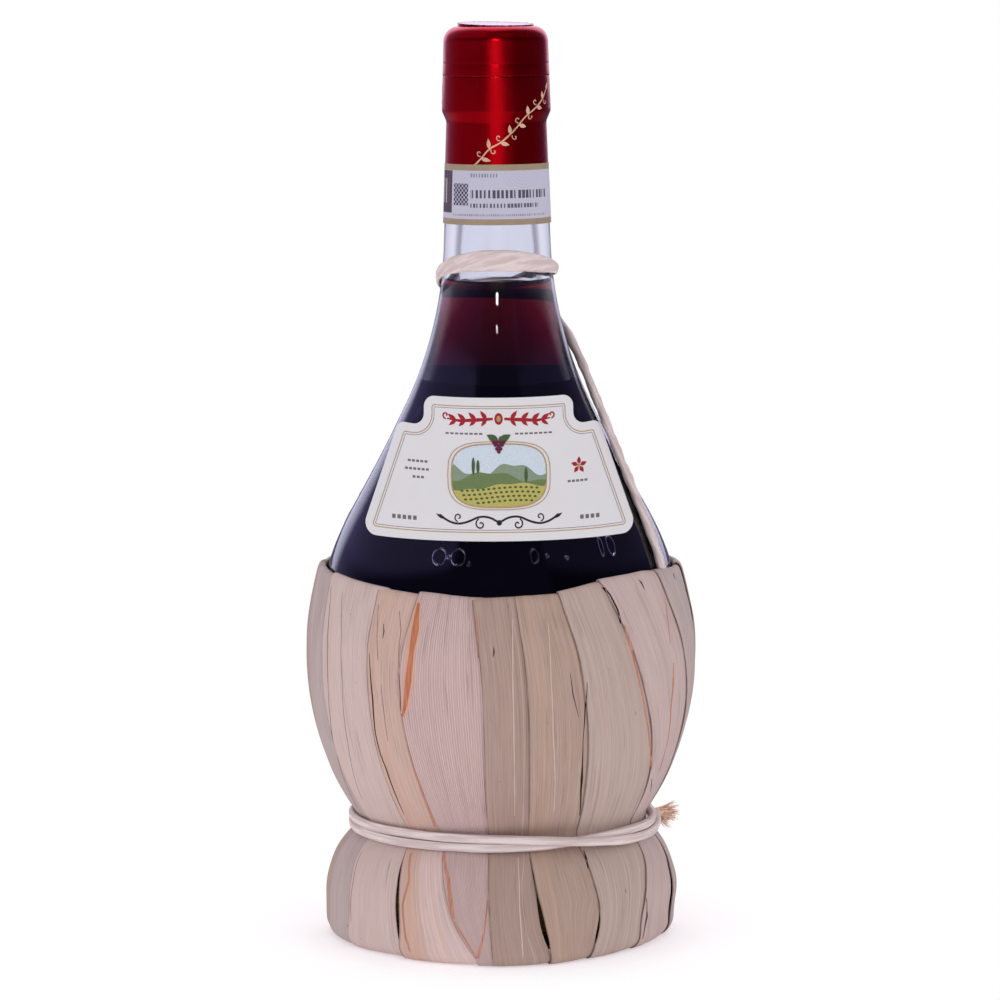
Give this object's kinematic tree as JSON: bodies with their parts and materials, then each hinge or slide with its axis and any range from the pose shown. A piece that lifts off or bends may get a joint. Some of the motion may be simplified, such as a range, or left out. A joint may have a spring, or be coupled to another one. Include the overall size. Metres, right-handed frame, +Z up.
{
  "type": "straw-covered wine flask",
  "caption": "Round-bottomed glass wine flask in a straw cover tied at the waist, with a neck cord, paper labels, cork and a foil capsule whose top tears off.",
  "frame": {"origin": "centre of the foot on the table plane", "axes": "+Z up along the neck, -Y towards the label side, +X to the right of a viewer who faces the label"},
  "size_m": [0.1114, 0.1114, 0.2613],
  "materials": {
    "glass": "gloss",
    "wine": "gloss",
    "cork": "matte",
    "foil": "satin",
    "seal_paper": "matte",
    "label_paper": "matte",
    "straw": "satin",
    "base_straw": "matte",
    "cord": "matte",
    "hoop": "matte"
  },
  "bodies": {
    "bottle": {"glass_flask": "glass", "wine": "wine", "capsule_skirt": "foil", "neck_band": "seal_paper", "front_label": "label_paper", "back_label": "label_paper", "rim_hoop": "hoop", "base_ring": "base_straw", "waist_cord": "cord", "waist_knot": "cord", "knot_tails": "cord", "sling_cord": "cord", "straw_blade_01": "straw", "straw_blade_02": "straw", "straw_blade_03": "straw", "straw_blade_04": "straw", "straw_blade_05": "straw", "straw_blade_06": "straw", "straw_blade_07": "straw", "straw_blade_08": "straw", "straw_blade_09": "straw", "straw_blade_10": "straw", "straw_blade_11": "straw", "straw_blade_12": "straw", "straw_blade_13": "straw", "straw_blade_14": "straw", "straw_blade_15": "straw", "straw_blade_16": "straw", "straw_blade_17": "straw", "straw_blade_18": "straw"},
    "cork": {"cork": "cork"},
    "capsule_top": {"capsule_cap": "foil"}
  },
  "joints": [
    {"name": "cork_draw", "type": "slide", "parent": "bottle", "child": "cork", "axis": [0, 0, 1], "range_m": [0, 0.08]},
    {"name": "capsule_lift", "type": "slide", "parent": "cork", "child": "capsule_top", "axis": [0, 0, 1], "range_m": [0, 0.045]}
  ]
}
